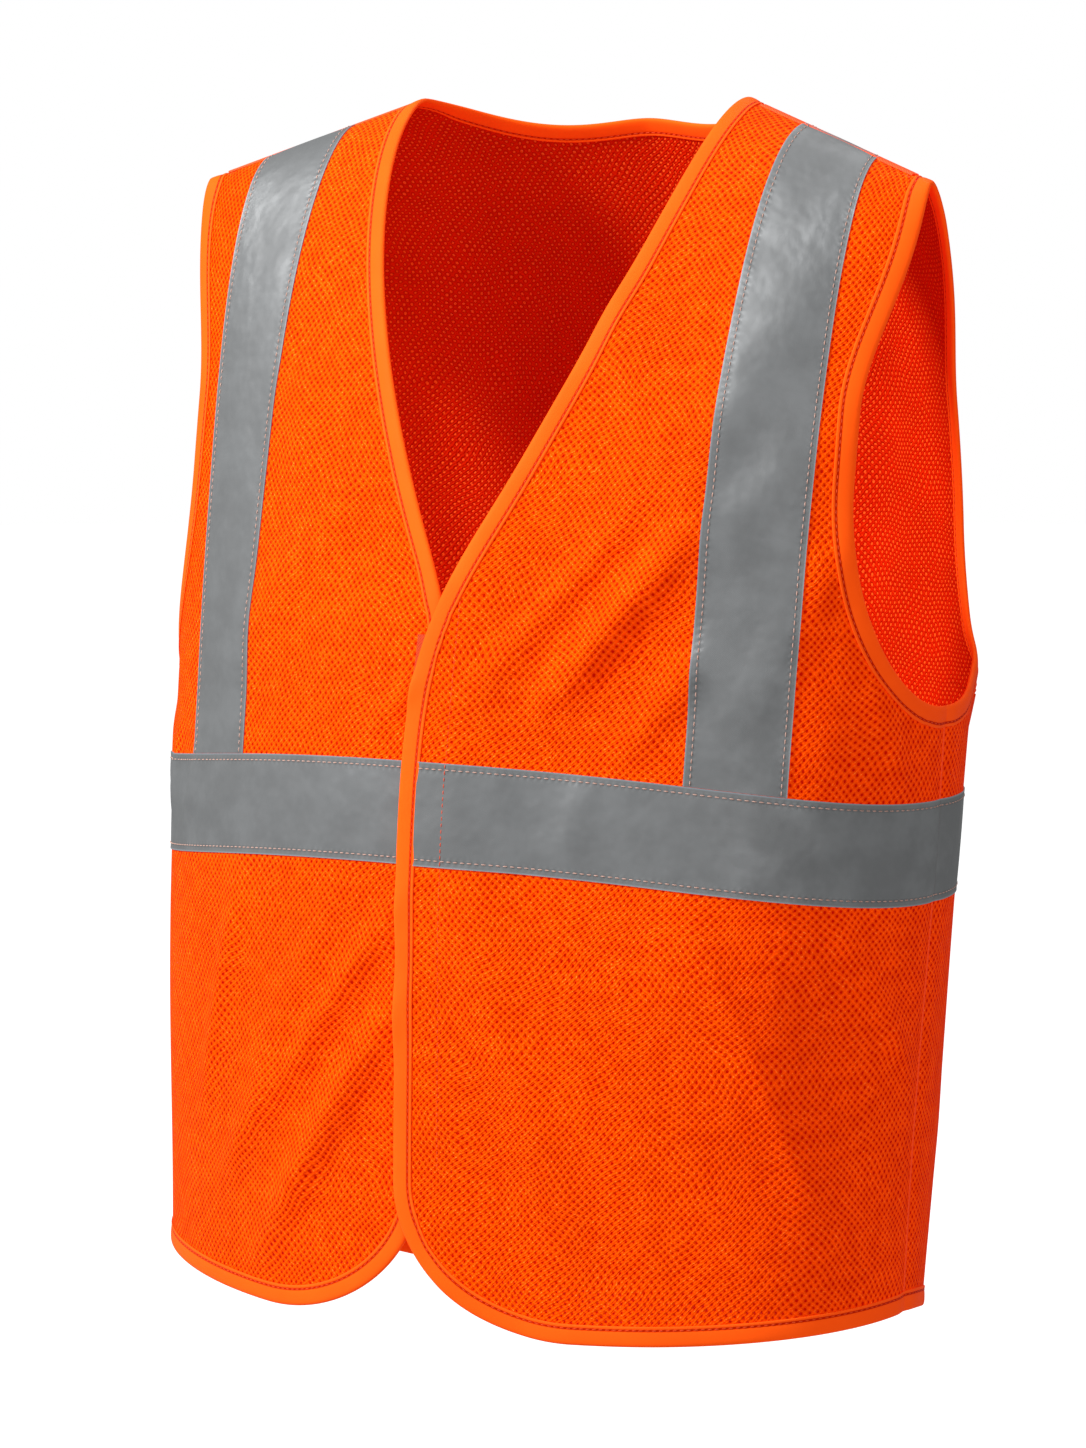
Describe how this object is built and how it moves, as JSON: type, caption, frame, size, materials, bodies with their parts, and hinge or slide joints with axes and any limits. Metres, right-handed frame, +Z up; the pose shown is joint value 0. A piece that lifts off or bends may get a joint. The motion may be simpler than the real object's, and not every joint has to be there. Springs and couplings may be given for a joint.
{
  "type": "high visibility vest",
  "caption": "Sleeveless mesh safety vest with reflective waist and shoulder tapes, bound edges, V neck and a lapped front that opens.",
  "frame": {"origin": "middle of the shoulder line, level with the two neck points", "axes": "+Z up, -Y out of the front, +X to the wearer's left"},
  "size_m": [0.4404, 0.282, 0.6426],
  "materials": {
    "orange_mesh": "knitted polyester mesh, matt with a slight yarn sheen",
    "reflective_tape": "glass bead reflective fabric, soft silver grey sheen, fine pebbled surface",
    "edge_binding": "woven folded tape, matt",
    "hook_and_loop": "fuzzy pile and fine hooks",
    "seam_overlock": "overlocked thread over the seam allowance"
  },
  "bodies": {
    "vest_body": {"back_panel": "orange_mesh", "left_front_side_panel": "orange_mesh", "right_front_side_panel": "orange_mesh", "back_waist_tape": "reflective_tape", "left_side_waist_tape": "reflective_tape", "right_side_waist_tape": "reflective_tape", "left_front_shoulder_tape": "reflective_tape", "left_back_shoulder_tape": "reflective_tape", "right_front_shoulder_tape": "reflective_tape", "right_back_shoulder_tape": "reflective_tape", "neck_binding": "edge_binding", "back_hem_binding": "edge_binding", "left_side_hem_binding": "edge_binding", "left_armhole_binding": "edge_binding", "right_side_hem_binding": "edge_binding", "right_armhole_binding": "edge_binding", "left_side_seam_overlock": "seam_overlock", "left_shoulder_seam_overlock": "seam_overlock", "right_side_seam_overlock": "seam_overlock", "right_shoulder_seam_overlock": "seam_overlock"},
    "left_front": {"left_front_opening_panel": "orange_mesh", "left_opening_waist_tape": "reflective_tape", "left_front_edge_binding": "edge_binding", "hook_strip": "hook_and_loop"},
    "right_front": {"right_front_opening_panel": "orange_mesh", "right_opening_waist_tape": "reflective_tape", "right_front_edge_binding": "edge_binding", "loop_strip": "hook_and_loop"}
  },
  "joints": [
    {"name": "left_front_open", "type": "hinge", "parent": "vest_body", "child": "left_front", "pos_m": [0.065, -0.1572, -0.4], "axis": [-0.2055, -0.0059, 0.9786], "range_deg": [0, 120]},
    {"name": "right_front_open", "type": "hinge", "parent": "vest_body", "child": "right_front", "pos_m": [-0.065, -0.1572, -0.4], "axis": [-0.2055, 0.0059, -0.9786], "range_deg": [0, 48]}
  ],
  "couplings": [
    {"joint": "right_front_open", "follows": "left_front_open", "ratio": 0.4}
  ]
}
